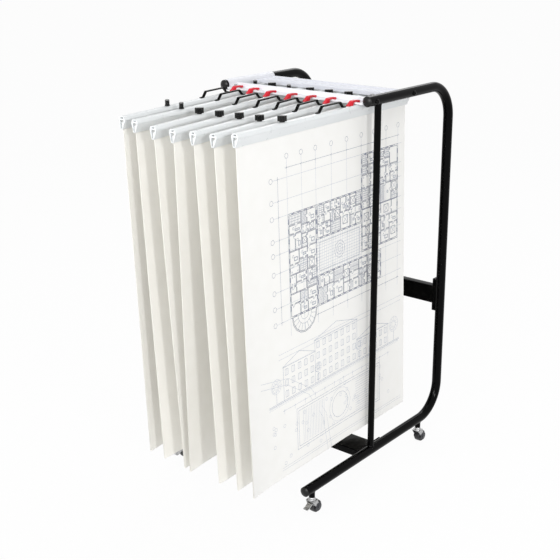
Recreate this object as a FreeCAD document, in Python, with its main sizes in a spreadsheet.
"""Mobile plan rack: two bent side frames on casters, two rails and seven hanging binders.

Units are millimetres. +Z is up, -Y is the front, where the binders' handles are, and the
origin lies on the floor under the middle of the whole rack.
"""
import FreeCAD, Part
import math
import os
import re
import Sketcher

SIZES = {
    # side frames: one bent tube each, open to the front, with an upright strut
    "strut_y": 93.0,
    "tube_x": 293.8,
    "tube_radius": 16.5,
    "tube_wall": 1.5,
    "bend_radius": 113.0,
    "lower_z": 93.4,
    "upper_z": 1298.0,
    "upright_back": 422.6,
    "arm_front": 58.2,
    "leg_front": 366.0,
    "strut_radius": 11.0,
    "strut_wall": 1.5,
    "vent_radius": 3.0,
    "fit_gap": 0.1,
    "plug_flange": 3.0,
    "plug_depth": 12.0,
    "plug_bevel": 1.6,
    # bolts
    "bolt_radius": 3.0,
    "bolt_hole_radius": 3.2,
    "bolt_head_radius": 8.5,
    "bolt_head_height": 4.5,
    "bolt_head_bevel": 2.4,
    "small_head_radius": 6.5,
    "nut_radius": 5.2,
    "nut_height": 5.0,
    "rail_bolt_drop": 2.5,
    "blind_grip": 8.0,
    # casters
    "boss_radius": 10.0,
    "stem_radius": 5.4,
    "stem_bore_radius": 5.5,
    "stem_short": 7.4,
    "front_caster": 328.0,
    "rear_caster": 302.0,
    "caster_trail": 16.0,
    "wheel_radius": 21.0,
    "wheel_width": 22.0,
    "tread_bevel": 1.2,
    "hub_width": 25.0,
    "hub_radius": 7.5,
    "axle_radius": 3.0,
    "axle_head_radius": 5.0,
    "axle_head_height": 2.5,
    "running_gap": 0.1,
    "fork_width": 30.0,
    "fork_plate": 2.0,
    "crown_gap": 8.0,
    "crown_reach": 14.0,
    "crown_skirt": 11.0,
    "crown_bend": 2.0,
    "cheek_low": 11.5,
    "cheek_half": 8.5,
    "cheek_heel": 6.0,
    "cheek_bend": 6.0,
    "heel_bend": 8.0,
    "swivel_gap": 0.5,
    "cup_radius": 13.0,
    "cup_height": 9.5,
    "lever_pin_y": 7.0,
    "lever_pin_z": 38.0,
    "lever_pin_radius": 2.5,
    "lever_width": 22.0,
    "lever_eye": 4.2,
    "lever_bend": 3.0,
    "pedal_knee": 27.0,
    "pedal_knee_z": 27.5,
    "pedal_bend": 5.0,
    "pedal_tip": 38.0,
    "pedal_tip_z": 25.0,
    "pedal_plate": 3.0,
    # beams between the side frames
    "plate": 2.0,
    "fold_radius": 1.0,
    "bottom_beam_rise": 7.6,
    "bottom_beam_front": 49.0,
    "bottom_beam_back": 44.0,
    "bottom_beam_height": 24.0,
    "bottom_flange_front": 70.0,
    "bottom_flange_back": 82.0,
    "bottom_flange_height": 20.0,
    "flange_plate": 3.0,
    "flange_bolt_inset": 12.0,
    "rear_beam_z": 541.0,
    "rear_beam_height": 66.0,
    "rear_beam_depth": 28.0,
    "rear_saddle_height": 120.0,
    "rear_saddle_plate": 8.8,
    "rear_bolt_pitch": 94.0,
    # front rail, rear rail and the sleeve on the left arm
    "rail_rise": 5.0,
    "upstand_height": 14.0,
    "bead_front": 62.5,
    "bead_height": 4.0,
    "upstand_front": 16.0,
    "front_flange": 11.0,
    "front_plate_front": 44.0,
    "front_bolt_inset": 27.0,
    "rear_rail_front": 92.0,
    "rear_rail_back": 188.0,
    "rear_bolt_inset": 180.0,
    "groove_depth": 4.0,
    "ridge_slant": 2.0,
    "front_ridge": 16.0,
    "middle_ridge_front": 33.0,
    "middle_ridge_back": 58.0,
    "back_ridge": 80.0,
    "front_lip_height": 13.0,
    "back_lip_height": 10.6,
    "sleeve_wall": 1.8,
    "sleeve_front": 50.0,
    "sleeve_back": 188.5,
    "sleeve_start": -105.0,
    "sleeve_angle": 200.0,
    # binders: places along a binder are counted from its hook, backwards
    "binder_drop": 4.5,
    "hook_line": 60.0,
    "clamp_front": 552.0,
    "clamp_length": 855.0,
    "clamp_width": 26.0,
    "clamp_height": 40.0,
    "clamp_wall": 2.2,
    "crown_round": 8.0,
    "crown_run": 4.0,
    "shoulder_round": 4.0,
    "lip_face": -4.0,
    "lip_step": 4.0,
    "lip_taper": 2.0,
    "skirt": 3.0,
    "jaw_gap": 0.3,
    "jaw_lip": 2.9,
    "tongue_gap": 0.2,
    "tongue_plate": 2.2,
    "sheet_play": 0.1,
    "sheet_stack": 1.6,
    "sheet_front": 545.0,
    "sheet_width": 841.0,
    "sheet_top": 12.0,
    "sheet_drop": 1068.0,
    "front_knob": 349.0,
    "rear_knob": 102.0,
    "handle_gap": 8.0,
    "handle_length": 145.0,
    "handle_height": 20.0,
    "handle_width": 7.0,
    "handle_plate": 2.8,
    "handle_foot": 14.0,
    "handle_slant": 14.0,
    "handle_bend": 2.0,
    "hook_width": 13.0,
    "hook_front": 37.0,
    "hook_riser_back": 14.0,
    "hook_tip_front": 20.0,
    "hook_tip_back": 30.0,
    "hook_lift": 0.4,
    "hook_arm": 4.2,
    "hook_tip_drop": 3.6,
    "hook_tip_slant": 3.0,
    "hook_heel": 3.5,
    "hook_back_slant": 5.0,
    "hook_shoulder": 15.0,
    "hook_bend": 5.0,
    "knob_length": 27.0,
    "knob_width": 13.0,
    "knob_height": 18.5,
    "knob_base_radius": 7.0,
    "knob_base_height": 6.0,
    "knob_lift": 0.3,
    "knob_stem_radius": 3.0,
    "knob_collar_radius": 4.5,
    "knob_collar_height": 4.0,
    "knob_bevel": 3.0,
    "knob_notch": 1.2,
    "knob_notch_pitch": 5.5,
    "knob_shut": 130.0,
    "knob_open": 40.0,
}

# Heights that follow from the sizes: each name stands for its formula wherever it is used.
FOLLOWS = {
    "fork_top": "2 * wheel_radius + crown_gap",
    "boss_bottom": "fork_top + cup_height + swivel_gap",
    "stem_top": "lower_z - stem_short",
    "bottom_beam_top": "lower_z + bottom_beam_rise",
    "rail_top": "upper_z + rail_rise",
    "rail_bolt_z": "upper_z - rail_bolt_drop",
    "ledge_top": "rail_top - upstand_height",
    "rear_rail_front_lip": "rail_top - front_lip_height",
    "rear_rail_back_lip": "rail_top - back_lip_height",
    "binder_z": "ledge_top - binder_drop",
}

# Each binder: its place along the rail, its offset behind the hook line, its turn about Z, its
# dip at the front, how far its sheets lean at the bottom, and the turn of its front and rear knob.
BINDERS = [
    (-242.2, 8.2, 3.7, 0.6, 26.0, "knob_shut", "knob_shut"),
    (-164.9, 2.1, 2.1, 0.8, 43.0, "knob_shut", "knob_open"),
    (-80.7, -10.2, 2.6, 1.6, 33.0, "knob_open", "knob_shut"),
    (9.3, -13.3, 1.75, 1.5, -21.0, "knob_open", "knob_open"),
    (83.4, -9.6, 1.9, 1.3, 39.0, "knob_open", "knob_open"),
    (157.3, -4.3, 1.7, 1.2, 35.0, "knob_open", "knob_open"),
    (246.0, -2.0, 0.6, 0.2, 26.0, "knob_open", "knob_shut"),
]
BINDER_VALUES = ("x", "offset", "turn", "dip", "lean")

NAME = re.compile(r"\b([a-z][a-z0-9_]*)\b(?!\s*\()")

os.makedirs("parts", exist_ok=True)
doc = FreeCAD.newDocument("plan_rack")
sizes = doc.addObject("Spreadsheet::Sheet", "sizes")
nodes = []


def fill_sheet():
    """Write every driving size into the sheet as text, under its alias."""
    values = dict(SIZES)
    for number, binder in enumerate(BINDERS, 1):
        for name, value in zip(BINDER_VALUES, binder):
            values["binder%d_%s" % (number, name)] = value
    for row, (name, value) in enumerate(values.items(), 1):
        sizes.set("A%d" % row, name)
        sizes.set("B%d" % row, str(value))
        sizes.setAlias("B%d" % row, name)
    doc.recompute()


def looked_up(match):
    """A name in a formula as the sheet's alias, or as the formula that it stands for."""
    name = match.group(1)
    if name in FOLLOWS:
        return "(%s)" % tied(FOLLOWS[name])
    return "sizes." + name


def tied(formula):
    """The formula with each size named in it looked up in the sheet."""
    return NAME.sub(looked_up, str(formula))


def value(formula):
    """The number that a formula of named sizes has now."""
    return float(sizes.evalExpression(tied(formula)))


def place(thing, x="0", y="0", z="0", yaw="0", pitch="0", roll="0"):
    """Tie a piece's Placement to formulas; turns are about Z, then Y, then X, in degrees."""
    base = "vector(%s; %s; %s)" % (tied(x), tied(y), tied(z))
    turn = "rotation(%s; %s; %s)" % (tied(yaw), tied(pitch), tied(roll))
    thing.setExpression("Placement", "placement(%s; %s)" % (base, turn))
    return thing


def node(thing, label):
    """Keep a finished piece under the name that it is saved by."""
    thing.Label = label
    nodes.append(thing)
    return thing


# ---- sketches ------------------------------------------------------------------------------

def new_sketch(body, name, role, offset="0"):
    """A sketch on one of the body's own origin planes, moved along the plane's normal."""
    plane = [item for item in body.Origin.OriginFeatures if item.Role == role][0]
    sketch = body.newObject("Sketcher::SketchObject", name)
    sketch.AttachmentSupport = (plane, [""])
    sketch.MapMode = "FlatFace"
    sketch.setExpression(".AttachmentOffset.Base.z", tied(offset))
    return sketch


def tie(sketch, kind, *where, formula):
    """Add one driving dimension and bind it to its formula."""
    index = sketch.addConstraint(Sketcher.Constraint(kind, *where, value(formula)))
    sketch.setExpression("Constraints[%d]" % index, tied(formula))


def tie_point(sketch, geometry, point, across, up):
    """Hold a point of the sketch at its two formulas, measured from the origin."""
    tie(sketch, "DistanceX", -1, 1, geometry, point, formula=across)
    tie(sketch, "DistanceY", -1, 1, geometry, point, formula=up)


def corner_arc(before, corner, after, radius):
    """The arc that rounds a corner, its two ends in walking order, and whether it turns left."""
    back = (before - corner).normalize()
    ahead = (after - corner).normalize()
    half = back.getAngle(ahead) / 2
    reach = radius / math.tan(half)
    first = corner + back * reach
    last = corner + ahead * reach
    centre = corner + (back + ahead).normalize() * (radius / math.sin(half))
    left = back.cross(ahead).z < 0
    start, end = (first, last) if left else (last, first)
    angles = [math.atan2(point.y - centre.y, point.x - centre.x) for point in (start, end)]
    if angles[1] < angles[0]:
        angles[1] += 2 * math.pi
    circle = Part.Circle(centre, FreeCAD.Vector(0, 0, 1), radius)
    return Part.ArcOfCircle(circle, *angles), first, last, left


def outline(sketch, corners, closed=True):
    """Straight edges through (across, up) or (across, up, radius) corners, all formulas."""
    count = len(corners)
    points = [FreeCAD.Vector(value(c[0]), value(c[1]), 0) for c in corners]
    arcs = {}
    for i, corner in enumerate(corners):
        if len(corner) == 3:
            arcs[i] = corner_arc(points[i - 1], points[i], points[(i + 1) % count], value(corner[2]))
    lines = {}
    for i in range(count if closed else count - 1):
        j = (i + 1) % count
        start = arcs[i][2] if i in arcs else points[i]
        end = arcs[j][1] if j in arcs else points[j]
        lines[i] = sketch.addGeometry(Part.LineSegment(start, end), False)
    for i, corner in enumerate(corners):
        incoming = lines.get((i - 1) % count)
        outgoing = lines.get(i)
        if i in arcs:
            arc, first, last, left = arcs[i]
            index = sketch.addGeometry(arc, False)
            helper = sketch.addGeometry(Part.Point(points[i]), True)
            near, far = (1, 2) if left else (2, 1)
            sketch.addConstraint(Sketcher.Constraint("Tangent", incoming, 2, index, near))
            sketch.addConstraint(Sketcher.Constraint("Tangent", index, far, outgoing, 1))
            sketch.addConstraint(Sketcher.Constraint("PointOnObject", helper, 1, incoming))
            sketch.addConstraint(Sketcher.Constraint("PointOnObject", helper, 1, outgoing))
            tie(sketch, "Radius", index, formula=corner[2])
            tie_point(sketch, helper, 1, corner[0], corner[1])
        elif outgoing is None:
            tie_point(sketch, incoming, 2, corner[0], corner[1])
        else:
            if incoming is not None:
                sketch.addConstraint(Sketcher.Constraint("Coincident", incoming, 2, outgoing, 1))
            tie_point(sketch, outgoing, 1, corner[0], corner[1])
    return sketch


def circle(sketch, across, up, radius):
    """A circle whose centre and radius are formulas."""
    centre = FreeCAD.Vector(value(across), value(up), 0)
    ring = Part.Circle(centre, FreeCAD.Vector(0, 0, 1), value(radius))
    index = sketch.addGeometry(ring, False)
    tie(sketch, "Radius", index, formula=radius)
    tie_point(sketch, index, 3, across, up)
    return sketch


def rectangle(sketch, across, up, width, height):
    """An upright rectangle given by its centre and its two sizes."""
    left = "%s - (%s) / 2" % (across, width)
    right = "%s + (%s) / 2" % (across, width)
    low = "%s - (%s) / 2" % (up, height)
    high = "%s + (%s) / 2" % (up, height)
    return outline(sketch, [(left, low), (right, low), (right, high), (left, high)])


# ---- features ------------------------------------------------------------------------------

def new_body(name):
    return doc.addObject("PartDesign::Body", name)


def pad(body, sketch, length):
    """Pad a sketch by half the length to each side."""
    feature = body.newObject("PartDesign::Pad", sketch.Name + "_pad")
    feature.Profile = sketch
    feature.SideType = "Symmetric"
    feature.setExpression("Length", tied(length))
    return feature


def pocket(body, sketch, length):
    """Cut a sketch away by half the length to each side, and make sure that it cuts."""
    doc.recompute()
    before = body.Shape.Volume
    feature = body.newObject("PartDesign::Pocket", sketch.Name + "_cut")
    feature.Profile = sketch
    feature.SideType = "Symmetric"
    feature.setExpression("Length", tied(length))
    doc.recompute()
    if body.Shape.Volume >= before:
        raise ValueError("%s cuts nothing" % sketch.Name)
    return feature


def revolve(body, sketch, axis):
    """Turn a half profile once round the sketch's own axis."""
    feature = body.newObject("PartDesign::Revolution", sketch.Name + "_turn")
    feature.Profile = sketch
    feature.ReferenceAxis = (sketch, [axis])
    feature.Angle = 360
    return feature


def cylinder(name, radius, length, x="0", y="0", z="0", pitch="0", roll="0"):
    """A cylinder that starts at a point and runs along +Z before it is turned."""
    thing = doc.addObject("Part::Cylinder", name)
    thing.setExpression("Radius", tied(radius))
    thing.setExpression("Height", tied(length))
    return place(thing, x, y, z, "0", pitch, roll)


def cross_cylinder(name, radius, length, x="0", y="0", z="0"):
    """A cylinder along X, centred on a point."""
    return cylinder(name, radius, length, "%s - (%s) / 2" % (x, length), y, z, pitch="90")


def block(name, sizes_xyz, centre):
    """A box given by its three sizes and its centre."""
    thing = doc.addObject("Part::Box", name)
    for edge, size in zip(("Length", "Width", "Height"), sizes_xyz):
        thing.setExpression(edge, tied(size))
    low = ["%s - (%s) / 2" % (middle, size) for middle, size in zip(centre, sizes_xyz)]
    return place(thing, *low)


def prism(name, sides, radius, height, z):
    """An upright prism with a regular outline that starts at a height over the origin."""
    thing = doc.addObject("Part::Prism", name)
    thing.Polygon = sides
    thing.setExpression("Circumradius", tied(radius))
    thing.setExpression("Height", tied(height))
    return place(thing, z=z)


def fuse(name, things):
    thing = doc.addObject("Part::MultiFuse", name)
    thing.Shapes = things
    return thing


def cut(name, base, tool):
    thing = doc.addObject("Part::Cut", name)
    thing.Base = base
    thing.Tool = tool
    return thing


def group(name, things):
    """Several separate solids kept together as one node."""
    thing = doc.addObject("Part::Compound", name)
    thing.Links = things
    return thing


# ---- side frames ---------------------------------------------------------------------------

def bent_tube(name, radius, overrun):
    """The frame's tube as a solid of one radius: arm, rear upright and leg with two bends."""
    body = new_body(name)
    front = "strut_y - arm_front - %s" % overrun
    spine = new_sketch(body, name + "_spine", "YZ_Plane")
    back = "strut_y + upright_back"
    path = [
        (front, "upper_z"),
        (back, "upper_z", "bend_radius"),
        (back, "lower_z", "bend_radius"),
        ("strut_y - leg_front - %s" % overrun, "lower_z"),
    ]
    outline(spine, path, closed=False)
    ring = new_sketch(body, name + "_ring", "XZ_Plane", "-(%s)" % front)
    circle(ring, "0", "upper_z", radius)
    doc.recompute()
    pipe = body.newObject("PartDesign::AdditivePipe", name + "_pipe")
    pipe.Profile = ring
    pipe.Spine = (spine, ["Edge%d" % (i + 1) for i in range(len(spine.Shape.Edges))])
    return body


def side_frame(side, sign):
    """One side: the bent tube, the strut welded between its legs and two caster bosses."""
    name = "side_frame_" + side
    tube = bent_tube(name + "_tube", "tube_radius", "0")
    strut = cylinder(name + "_strut", "strut_radius", "upper_z - lower_z", "0", "strut_y", "lower_z")
    solids = [tube, strut]
    rise = "lower_z + tube_radius + strut_wall"
    holes = [
        bent_tube(name + "_bore", "tube_radius - tube_wall", "1"),
        cylinder(name + "_strut_bore", "strut_radius - strut_wall",
                 "upper_z - lower_z - 2 * (tube_radius + strut_wall)", "0", "strut_y", rise),
        cylinder(name + "_vent", "vent_radius", "tube_radius + 2 * strut_wall", "0", "strut_y", "lower_z"),
    ]
    for end, y in (("front", "strut_y - front_caster"), ("rear", "strut_y + rear_caster")):
        boss = "%s_%s_boss" % (name, end)
        solids.append(cylinder(boss, "boss_radius", "lower_z - boss_bottom", "0", y, "boss_bottom"))
        holes.append(cylinder(boss + "_bore", "stem_bore_radius", "lower_z - boss_bottom + 1", "0", y,
                              "boss_bottom - 1"))
    for i, y in enumerate(("strut_y - front_bolt_inset", "strut_y + rear_bolt_inset")):
        holes.append(cross_cylinder("%s_rail_hole%d" % (name, i), "bolt_hole_radius",
                                    "2 * tube_radius + 2", "0", y, "rail_bolt_z"))
    inner = "%d * (tube_radius + 1) / 2" % -sign
    for i, (y, z) in enumerate(beam_bolts()):
        holes.append(cross_cylinder("%s_beam_hole%d" % (name, i), "bolt_hole_radius",
                                    "tube_radius + 1", inner, y, z))
    frame = cut(name, fuse(name + "_solids", solids), fuse(name + "_holes", holes))
    return node(place(frame, "%d * tube_x" % sign), name)


def beam_bolts():
    """Where the two beams are bolted to a side frame: (y, z) formulas."""
    return [
        ("strut_y + upright_back", "rear_beam_z - rear_bolt_pitch / 2"),
        ("strut_y + upright_back", "rear_beam_z + rear_bolt_pitch / 2"),
        ("strut_y - bottom_flange_front + flange_bolt_inset", "lower_z"),
        ("strut_y + bottom_flange_back - flange_bolt_inset", "lower_z"),
    ]


def plug(name, x, y, z):
    """A ribbed plastic plug: a flange over the tube's end and an insert inside it."""
    body = new_body(name)
    sketch = new_sketch(body, name + "_profile", "XZ_Plane")
    insert = "tube_radius - tube_wall - fit_gap"
    outline(sketch, [
        ("0", "-plug_depth"),
        (insert, "-plug_depth"),
        (insert, "0"),
        ("tube_radius", "0"),
        ("tube_radius", "plug_flange - plug_bevel"),
        ("tube_radius - plug_bevel", "plug_flange"),
        ("0", "plug_flange"),
    ])
    revolve(body, sketch, "V_Axis")
    return place(body, x, y, z, roll="90")


def bolt(name, sign, x, y, z, head_radius, grip, nut):
    """A bolt along X whose head's underside is at x; the grip runs inwards from there."""
    body = new_body(name)
    sketch = new_sketch(body, name + "_profile", "XZ_Plane")
    tail = "-(%s)" % grip
    outline(sketch, [
        ("0", "bolt_head_height"),
        (head_radius + " - bolt_head_bevel", "bolt_head_height"),
        (head_radius, "bolt_head_height - bolt_head_bevel"),
        (head_radius, "0"),
        ("bolt_radius", "0"),
        ("bolt_radius", tail),
        ("0", tail),
    ])
    revolve(body, sketch, "V_Axis")
    if nut:
        hexagon = prism(name + "_nut", 6, "nut_radius", "nut_height", tail + " - nut_height")
        body = fuse(name + "_with_nut", [body, hexagon])
    return place(body, x, y, z, pitch="%d" % (90 * sign))


def plugs_and_bolts():
    """Four tube plugs and the bolts that hold the rails and the beams."""
    things = []
    for side, sign in (("left", -1), ("right", 1)):
        x = "%d * tube_x" % sign
        things.append(plug("plug_arm_" + side, x, "strut_y - arm_front", "upper_z"))
        things.append(plug("plug_leg_" + side, x, "strut_y - leg_front", "lower_z"))
        head = "%d * (tube_x + tube_radius + fit_gap)" % sign
        grip = "2 * tube_radius + 3 * fit_gap + plate" + (" + sleeve_wall" if sign < 0 else "")
        for end, y in (("front", "strut_y - front_bolt_inset"), ("rear", "strut_y + rear_bolt_inset")):
            name = "rail_bolt_%s_%s" % (end, side)
            things.append(bolt(name, sign, head, y, "rail_bolt_z", "bolt_head_radius", grip, True))
        seats = ["rear_saddle_plate"] * 2 + ["flange_plate"] * 2
        for i, ((y, z), seat) in enumerate(zip(beam_bolts(), seats)):
            head = "%d * (tube_x - tube_radius - 2 * fit_gap - %s)" % (sign, seat)
            things.append(bolt("beam_bolt%d_%s" % (i, side), -sign, head, y, z, "small_head_radius",
                               "%s + blind_grip" % seat, False))
    return node(group("frame_plugs_and_bolts", things), "frame_plugs_and_bolts")


# ---- beams, rails and sleeve ---------------------------------------------------------------

def end_plate(body, name, sign, length, plate, centre, size):
    """An upright plate across one end of a beam or rail that runs along X."""
    sketch = new_sketch(body, name, "YZ_Plane", "%d * (%s - %s) / 2" % (sign, length, plate))
    rectangle(sketch, centre[0], centre[1], size[0], size[1])
    return pad(body, sketch, plate)


def bottom_beam():
    """A shallow pan that is open below, with an upright flange along each leg."""
    body = new_body("bottom_beam")
    length = "2 * (tube_x - tube_radius - fit_gap)"
    front = "strut_y - bottom_beam_front"
    back = "strut_y + bottom_beam_back"
    low = "bottom_beam_top - bottom_beam_height"
    section = new_sketch(body, "bottom_beam_section", "YZ_Plane")
    outline(section, [
        (front, low),
        (front, "bottom_beam_top", "plate + fold_radius"),
        (back, "bottom_beam_top", "plate + fold_radius"),
        (back, low),
        (back + " - plate", low),
        (back + " - plate", "bottom_beam_top - plate", "fold_radius"),
        (front + " + plate", "bottom_beam_top - plate", "fold_radius"),
        (front + " + plate", low),
    ])
    pad(body, section, length)
    centre = ("strut_y + (bottom_flange_back - bottom_flange_front) / 2", "lower_z")
    size = ("bottom_flange_back + bottom_flange_front", "bottom_flange_height")
    for side, sign in (("left", -1), ("right", 1)):
        end_plate(body, "bottom_flange_" + side, sign, length, "flange_plate", centre, size)
    holes = new_sketch(body, "bottom_beam_holes", "YZ_Plane")
    for y, z in beam_bolts()[2:]:
        circle(holes, y, z, "bolt_hole_radius")
    pocket(body, holes, length + " + 2")
    return node(body, "bottom_beam")


def rear_beam():
    """A box beam whose end flanges are hollowed to sit against the round uprights."""
    y = "strut_y + upright_back"
    body = new_body("rear_beam_box")
    section = new_sketch(body, "rear_beam_section", "YZ_Plane")
    rectangle(section, y, "rear_beam_z", "rear_beam_depth", "rear_beam_height")
    rectangle(section, y, "rear_beam_z", "rear_beam_depth - 2 * plate", "rear_beam_height - 2 * plate")
    inner = "tube_x - tube_radius - fit_gap - rear_saddle_plate"
    pad(body, section, "2 * (%s)" % inner)
    solids = [body]
    across = "2 * (tube_x + 2)"
    holes = [cross_cylinder("rear_beam_way", "rear_beam_depth / 4", across, "0", y, "rear_beam_z")]
    for i, (bolt_y, bolt_z) in enumerate(beam_bolts()[:2]):
        holes.append(cross_cylinder("rear_beam_hole%d" % i, "bolt_hole_radius", across, "0", bolt_y, bolt_z))
    reach = "rear_saddle_plate + tube_radius / 4"
    for side, sign in (("left", -1), ("right", 1)):
        middle = "%d * (%s + (%s) / 2)" % (sign, inner, reach)
        size = (reach, "rear_beam_depth", "rear_saddle_height")
        solids.append(block("rear_saddle_" + side, size, (middle, y, "rear_beam_z")))
        low = "rear_beam_z - rear_saddle_height"
        holes.append(cylinder("rear_seat_" + side, "tube_radius + fit_gap", "2 * rear_saddle_height",
                              "%d * tube_x" % sign, y, low))
    beam = cut("rear_beam", fuse("rear_beam_solids", solids), fuse("rear_beam_holes", holes))
    return node(beam, "rear_beam")


def rail_length():
    return "2 * (tube_x - tube_radius) - sleeve_wall - 3 * fit_gap"


def finish_rail(body, label, ends, bolt_y):
    """Drill both end plates and centre the rail between the sleeve and the right arm."""
    holes = new_sketch(body, label + "_holes", "YZ_Plane")
    circle(holes, bolt_y, "rail_bolt_z", "bolt_hole_radius")
    pocket(body, holes, rail_length() + " + 2")
    place(body, "(sleeve_wall + fit_gap) / 2")
    return node(body, label)


def front_rail():
    """The folded ledge that the hooks hang on: bead, ledge, upstand and top flange."""
    body = new_body("front_rail")
    section = new_sketch(body, "front_rail_section", "YZ_Plane")
    bead = "strut_y - bead_front"
    face = "strut_y - upstand_front"
    outline(section, [
        (bead, "ledge_top - plate", "plate / 2"),
        (bead, "ledge_top + bead_height"),
        (bead + " + plate", "ledge_top + bead_height"),
        (bead + " + plate", "ledge_top"),
        (face, "ledge_top"),
        (face, "rail_top", "plate"),
        (face + " + front_flange", "rail_top"),
        (face + " + front_flange", "rail_top - plate"),
        (face + " + plate", "rail_top - plate"),
        (face + " + plate", "ledge_top - plate", "plate"),
    ])
    pad(body, section, rail_length())
    front = "strut_y - front_plate_front"
    centre = ("(%s + %s + plate / 2) / 2" % (front, face), "(ledge_top + rail_top) / 2 - plate / 2")
    size = ("%s + plate / 2 - (%s)" % (face, front), "rail_top - ledge_top")
    for side, sign in (("left", -1), ("right", 1)):
        end_plate(body, "front_end_" + side, sign, rail_length(), "plate", centre, size)
    return finish_rail(body, "front_rail", "front_end", "strut_y - front_bolt_inset")


def rear_rail():
    """The corrugated shelf over the binders' tails: three ridges with two grooves between."""
    body = new_body("rear_rail")
    start = "strut_y + rear_rail_front"
    end = "strut_y + rear_rail_back"
    groove = "rail_top - groove_depth"
    lean = "plate * tan(atan(groove_depth / ridge_slant) / 2)"
    falls = [start + " + front_ridge", start + " + middle_ridge_back"]
    rises = [start + " + middle_ridge_front", start + " + back_ridge"]
    top = [(start, "rear_rail_front_lip"), (start, "rail_top", "plate")]
    under = [(start + " + plate", "rear_rail_front_lip"), (start + " + plate", "rail_top - plate")]
    for fall, rise in zip(falls, rises):
        top += [(fall, "rail_top"), (fall + " + ridge_slant", groove),
                (rise + " - ridge_slant", groove), (rise, "rail_top")]
        under += [("%s - %s" % (fall, lean), "rail_top - plate"),
                  ("%s + ridge_slant - %s" % (fall, lean), groove + " - plate"),
                  ("%s - ridge_slant + %s" % (rise, lean), groove + " - plate"),
                  ("%s + %s" % (rise, lean), "rail_top - plate")]
    top += [(end, "rail_top", "plate"), (end, "rear_rail_back_lip")]
    under += [(end + " - plate", "rail_top - plate"), (end + " - plate", "rear_rail_back_lip")]
    section = new_sketch(body, "rear_rail_section", "YZ_Plane")
    outline(section, top + under[::-1])
    pad(body, section, rail_length())
    high = "rail_top - groove_depth - plate / 2"
    centre = ("(%s + %s) / 2" % (start, end), "(%s + rear_rail_back_lip) / 2" % high)
    size = ("rear_rail_back - rear_rail_front", "%s - rear_rail_back_lip" % high)
    tall = "rail_top - plate / 2"
    ridge_centre = ("(%s + back_ridge + %s) / 2" % (start, end), "(%s + rear_rail_back_lip) / 2" % tall)
    ridge_size = ("rear_rail_back - rear_rail_front - back_ridge", "%s - rear_rail_back_lip" % tall)
    for side, sign in (("left", -1), ("right", 1)):
        end_plate(body, "rear_end_" + side, sign, rail_length(), "plate", centre, size)
        end_plate(body, "rear_tab_" + side, sign, rail_length(), "plate", ridge_centre, ridge_size)
    return finish_rail(body, "rear_rail", "rear_end", "strut_y + rear_bolt_inset")


def arm_sleeve():
    """A thin open shell over the inner side of the left arm, between the arm and the rails."""
    length = "sleeve_front + sleeve_back"
    shells = []
    inside = "tube_radius + fit_gap"
    for name, radius in (("outside", inside + " + sleeve_wall"), ("inside", inside)):
        shell = cylinder("sleeve_" + name, radius, length, "-tube_x", "strut_y - sleeve_front", "upper_z",
                         pitch="sleeve_start", roll="-90")
        shell.setExpression("Angle", tied("sleeve_angle"))
        shells.append(shell)
    holes = []
    for i, y in enumerate(("strut_y - front_bolt_inset", "strut_y + rear_bolt_inset")):
        holes.append(cross_cylinder("sleeve_hole%d" % i, "bolt_hole_radius", "2 * tube_radius",
                                    "-tube_x + tube_radius", y, "rail_bolt_z"))
    holes.append(cylinder("sleeve_notch", "strut_radius + 5 * fit_gap", "3 * tube_radius", "-tube_x",
                          "strut_y", "upper_z - 3 * tube_radius"))
    sleeve = cut("arm_sleeve", cut("sleeve_shell", shells[0], shells[1]), fuse("sleeve_holes", holes))
    return node(sleeve, "arm_sleeve")


# ---- casters -------------------------------------------------------------------------------

def fork(corner, x, y, braked):
    """A pressed caster fork with its swivel cup, stem and axle, and a pin for the brake lever."""
    name = "caster_fork_" + corner
    body = new_body(name)
    side = new_sketch(body, name + "_side", "YZ_Plane")
    outline(side, [
        ("-crown_reach", "fork_top", "crown_bend"),
        ("-crown_reach", "fork_top - crown_skirt", "2 * crown_bend"),
        ("caster_trail - cheek_half", "cheek_low", "cheek_bend"),
        ("caster_trail + cheek_half", "cheek_low", "cheek_bend"),
        ("caster_trail + cheek_half", "wheel_radius + cheek_heel", "heel_bend"),
        ("crown_reach", "fork_top", "crown_bend"),
    ])
    pad(body, side, "fork_width")
    gap = new_sketch(body, name + "_gap", "XZ_Plane")
    outline(gap, [
        ("-fork_width / 2 + fork_plate", "0"),
        ("fork_width / 2 - fork_plate", "0"),
        ("fork_width / 2 - fork_plate", "fork_top - fork_plate", "crown_bend"),
        ("-fork_width / 2 + fork_plate", "fork_top - fork_plate", "crown_bend"),
    ])
    pocket(body, gap, "6 * wheel_radius")
    stem = new_sketch(body, name + "_stem", "XZ_Plane")
    cup_top = "boss_bottom - swivel_gap"
    outline(stem, [
        ("0", "fork_top - fork_plate / 2"),
        ("cup_radius", "fork_top - fork_plate / 2"),
        ("cup_radius", cup_top),
        ("stem_radius", cup_top),
        ("stem_radius", "stem_top"),
        ("0", "stem_top"),
    ])
    revolve(body, stem, "V_Axis")
    axle = new_sketch(body, name + "_axle", "YZ_Plane")
    circle(axle, "caster_trail", "wheel_radius", "axle_radius")
    pad(body, axle, "fork_width")
    for end, sign in (("left", -1), ("right", 1)):
        middle = "%d * (fork_width + axle_head_height) / 2" % sign
        head = new_sketch(body, "%s_head_%s" % (name, end), "YZ_Plane", middle)
        circle(head, "caster_trail", "wheel_radius", "axle_head_radius")
        pad(body, head, "axle_head_height")
    if braked:
        pin = new_sketch(body, name + "_pin", "YZ_Plane")
        circle(pin, "-lever_pin_y", "lever_pin_z", "lever_pin_radius")
        pad(body, pin, "fork_width")
    return node(place(body, x, y), name)


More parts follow.
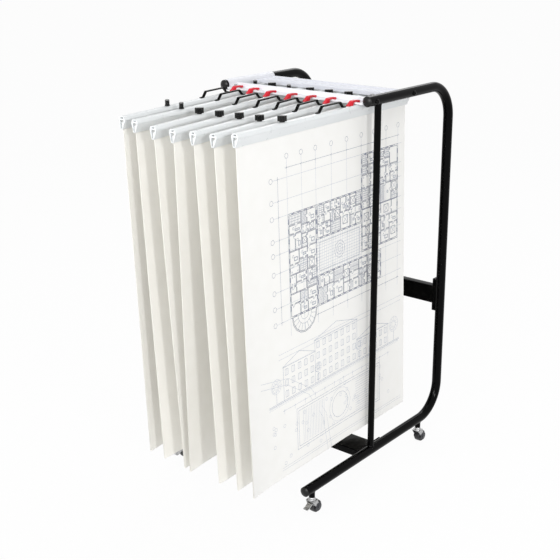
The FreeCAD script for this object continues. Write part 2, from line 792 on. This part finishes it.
def wheel(corner, x, y):
    """A solid caster wheel: bevelled tread and a longer hub with a running bore."""
    name = "caster_wheel_" + corner
    body = new_body(name)
    half = new_sketch(body, name + "_half", "XZ_Plane")
    face = "wheel_width / 2"
    right = [
        ("hub_width / 2", "axle_radius + running_gap"),
        ("hub_width / 2", "hub_radius"),
        (face, "hub_radius"),
        (face, "wheel_radius - tread_bevel"),
        (face + " - tread_bevel", "wheel_radius"),
    ]
    left = [("-(%s)" % across, up) for across, up in right[::-1]]
    outline(half, right + left)
    revolve(body, half, "H_Axis")
    return node(place(body, x, y + " + caster_trail", "wheel_radius"), name)


def brake_lever(corner, x, y):
    """A pressed pedal on the fork's front pin; pushing it down swings it towards the tread."""
    name = "brake_lever_" + corner
    body = new_body(name)
    side = new_sketch(body, name + "_side", "YZ_Plane")
    near = "-lever_pin_y + lever_eye"
    far = "-lever_pin_y - lever_eye"
    outline(side, [
        (near, "lever_pin_z + lever_eye", "lever_bend"),
        (far, "lever_pin_z + lever_eye", "lever_bend"),
        ("-pedal_knee", "pedal_knee_z", "pedal_bend"),
        ("-pedal_tip", "pedal_tip_z"),
        ("-pedal_tip", "pedal_tip_z - pedal_plate"),
        ("-pedal_knee", "pedal_knee_z - pedal_plate", "pedal_bend"),
        (far, "lever_pin_z - lever_eye", "lever_bend"),
        (near, "lever_pin_z - lever_eye", "lever_bend"),
    ])
    circle(side, "-lever_pin_y", "lever_pin_z", "lever_pin_radius + running_gap")
    pad(body, side, "lever_width")
    return node(place(body, x, y), name)


def casters():
    for end, y in (("front", "strut_y - front_caster"), ("rear", "strut_y + rear_caster")):
        for side, sign in (("left", -1), ("right", 1)):
            corner = "%s_%s" % (end, side)
            x = "%d * tube_x" % sign
            fork(corner, x, y, end == "front")
            wheel(corner, x, y)
            if end == "front":
                brake_lever(corner, x, y)


# ---- binders -------------------------------------------------------------------------------

def hang(thing, number, along="0", turn="0"):
    """Put a piece on its binder; along is its place behind the hook, turn its own turn."""
    name = "binder%d_" % number
    place(thing, name + "x", "strut_y - hook_line + %soffset" % name, "binder_z", name + "turn", "0",
          name + "dip")
    if along == "0":
        return thing
    carried = thing.ExpressionEngine[0][1]
    own = "placement(vector(0; %s; 0); rotation(%s; 0; 0))" % (tied(along), tied(turn))
    thing.setExpression("Placement", "%s * %s" % (carried, own))
    return thing


def clamp(number):
    """The bar's crown with its left jaw, and the right jaw hooked under the crown's edge."""
    name = "binder%d_clamp" % number
    half = "clamp_width / 2"
    low = "-clamp_height"
    shoulder = "-clamp_height / 4"
    bar = new_body(name + "_bar")
    section = new_sketch(bar, name + "_bar_section", "XZ_Plane", "clamp_front - clamp_length / 2")
    run = half + " - crown_run"
    inner_run = run + " - clamp_wall / 2"
    outline(section, [
        ("lip_face", low),
        ("lip_face - clamp_wall - lip_taper / 4", low),
        ("-" + half, shoulder, "shoulder_round"),
        ("-(%s)" % run, "0", "crown_round"),
        (run, "0", "crown_round"),
        (half, shoulder, "shoulder_round"),
        (half, shoulder + " - skirt"),
        (half + " - clamp_wall", shoulder + " - skirt"),
        (half + " - clamp_wall", shoulder),
        (inner_run, "-clamp_wall", "crown_round - clamp_wall"),
        ("-(%s)" % inner_run, "-clamp_wall", "crown_round - clamp_wall"),
        ("-%s + clamp_wall" % half, shoulder),
        ("lip_face - lip_taper", low + " + lip_step + lip_taper"),
        ("lip_face", low + " + lip_step"),
    ])
    pad(bar, section, "clamp_length")
    holes = new_sketch(bar, name + "_holes", "XY_Plane")
    for along in ("-front_knob", "rear_knob"):
        circle(holes, "0", along, "knob_stem_radius + running_gap")
    pocket(bar, holes, "4 * clamp_wall")
    jaw = new_body(name + "_jaw")
    section = new_sketch(jaw, name + "_jaw_section", "XZ_Plane", "clamp_front - clamp_length / 2")
    lip = "lip_face + sheet_stack + 2 * sheet_play"
    top = shoulder + " - skirt - jaw_gap"
    tongue = half + " - clamp_wall - tongue_gap"
    inside = tongue + " - tongue_plate"
    outline(section, [
        (half, top),
        (lip + " + jaw_lip", low),
        (lip, low),
        (lip, low + " + lip_step"),
        (lip + " + jaw_lip", low + " + lip_step + lip_taper / 2"),
        (inside, top + " - tongue_plate"),
        (inside, shoulder),
        (tongue, shoulder),
        (tongue, top),
    ])
    pad(jaw, section, "clamp_length")
    return node(hang(group(name, [bar, jaw]), number), name)


def handle(number):
    """A flat strap bent into a low carrying handle with two feet."""
    name = "binder%d_handle" % number
    body = new_body(name)
    side = new_sketch(body, name + "_side", "YZ_Plane")
    back = "-hook_front - handle_gap"
    front = back + " - handle_length"
    rise = "handle_height - handle_plate"
    lean = "handle_plate * tan(atan((handle_height - handle_plate) / handle_slant) / 2)"
    step = "handle_foot + handle_slant"
    outline(side, [
        (front, "0"),
        (front + " + handle_foot", "0", "handle_plate + handle_bend"),
        ("%s + %s" % (front, step), rise, "handle_bend"),
        ("%s - (%s)" % (back, step), rise, "handle_bend"),
        (back + " - handle_foot", "0", "handle_plate + handle_bend"),
        (back, "0"),
        (back, "handle_plate"),
        ("%s - handle_foot + %s" % (back, lean), "handle_plate", "handle_bend"),
        ("%s - (%s) + %s" % (back, step, lean), "handle_height", "handle_plate + handle_bend"),
        ("%s + %s - %s" % (front, step, lean), "handle_height", "handle_plate + handle_bend"),
        ("%s + handle_foot - %s" % (front, lean), "handle_plate", "handle_bend"),
        (front, "handle_plate"),
    ])
    pad(body, side, "handle_width")
    return node(hang(body, number), name)


def hook(number):
    """The moulded hook: a foot on the bar, a riser ahead of the bead, an arm over it and a tip."""
    name = "binder%d_hook" % number
    body = new_body(name)
    side = new_sketch(body, name + "_side", "YZ_Plane")
    under = "ledge_top + bead_height + hook_lift - binder_z"
    top = under + " + hook_arm"
    outline(side, [
        ("-hook_front", "0"),
        ("-hook_riser_back", "0"),
        ("-hook_riser_back", under, "hook_bend / 4"),
        ("hook_tip_front", under),
        ("hook_tip_front + hook_tip_slant / 3", under + " - hook_tip_drop"),
        ("hook_tip_back - hook_tip_slant", under + " - hook_tip_drop"),
        ("hook_tip_back", under),
        ("hook_tip_back - hook_tip_slant", top, "hook_bend / 3"),
        ("-hook_front + hook_shoulder", top, "hook_bend"),
        ("-hook_front + hook_back_slant", "hook_heel", "hook_bend"),
        ("-hook_front", "hook_heel"),
    ])
    pad(body, side, "hook_width")
    return node(hang(body, number), name)


def sheets(number):
    """The stack of sheets in the clamp: upright in the jaws, then leaning a little sideways."""
    name = "binder%d_sheets" % number
    body = new_body(name)
    section = new_sketch(body, name + "_section", "XZ_Plane", "sheet_front - sheet_width / 2")
    near = "lip_face + sheet_play"
    far = near + " + sheet_stack"
    lean = " + binder%d_lean" % number
    lip = "-clamp_height - 1"
    bottom = "-clamp_height - sheet_drop"
    outline(section, [
        (near, lip),
        (near + lean, bottom),
        (far + lean, bottom),
        (far, lip),
        (far, "-sheet_top"),
        (near, "-sheet_top"),
    ])
    pad(body, section, "sheet_width")
    return node(hang(body, number), name)


def knob(number, end, along, turn):
    """A clamping knob: ribbed wings on a round foot, and a stem with a nut inside the bar."""
    name = "binder%d_knob_%s" % (number, end)
    collar_top = "-clamp_wall - knob_lift"
    stem = cylinder(name + "_stem", "knob_stem_radius", "clamp_wall + 2 * knob_lift + 2",
                    z=collar_top + " - 1")
    collar = prism(name + "_collar", 6, "knob_collar_radius", "knob_collar_height",
                   collar_top + " - knob_collar_height")
    foot = prism(name + "_foot", 12, "knob_base_radius", "knob_base_height - knob_lift", "knob_lift")
    half = "knob_width / 2"
    tip = "knob_length / 2"
    ribbed = []
    for i in (-1, 0, 1):
        middle = "%d * knob_notch_pitch" % i
        ribbed += [
            (middle + " - knob_notch", "-" + half),
            (middle, "-%s + knob_notch" % half),
            (middle + " + knob_notch", "-" + half),
        ]
    near = [("-" + tip, "-%s + knob_bevel" % half), ("-%s + knob_bevel" % tip, "-" + half)] + ribbed
    near.append(("%s - knob_bevel" % tip, "-" + half))
    near.append((tip, "-%s + knob_bevel" % half))
    far = [("-(%s)" % across, "-(%s)" % up) for across, up in near]
    grip = new_body(name + "_grip")
    wings = new_sketch(grip, name + "_wings", "XY_Plane", "(knob_base_height + knob_height - 1) / 2")
    outline(wings, near + far)
    pad(grip, wings, "knob_height - knob_base_height + 1")
    return node(hang(fuse(name, [stem, collar, foot, grip]), number, along, turn), name)


def binders():
    for number, binder in enumerate(BINDERS, 1):
        front_turn, rear_turn = binder[5:]
        clamp(number)
        handle(number)
        hook(number)
        sheets(number)
        knob(number, "front", "-front_knob", front_turn)
        knob(number, "rear", "rear_knob", rear_turn)


# ---- build ---------------------------------------------------------------------------------

def save():
    """Stop on any failed object or shape; otherwise write each node's STEP file."""
    doc.recompute()
    for thing in doc.Objects:
        if "Invalid" in thing.State or "Error" in thing.State:
            raise ValueError("%s: %s" % (thing.Label, thing.State))
    for thing in nodes:
        if thing.Shape.isNull() or not thing.Shape.isValid():
            raise ValueError("%s has no valid shape" % thing.Label)
    for thing in nodes:
        thing.Shape.exportStep("parts/%s.step" % thing.Label)


fill_sheet()
side_frame("left", -1)
side_frame("right", 1)
plugs_and_bolts()
bottom_beam()
rear_beam()
front_rail()
rear_rail()
arm_sleeve()
casters()
binders()
save()
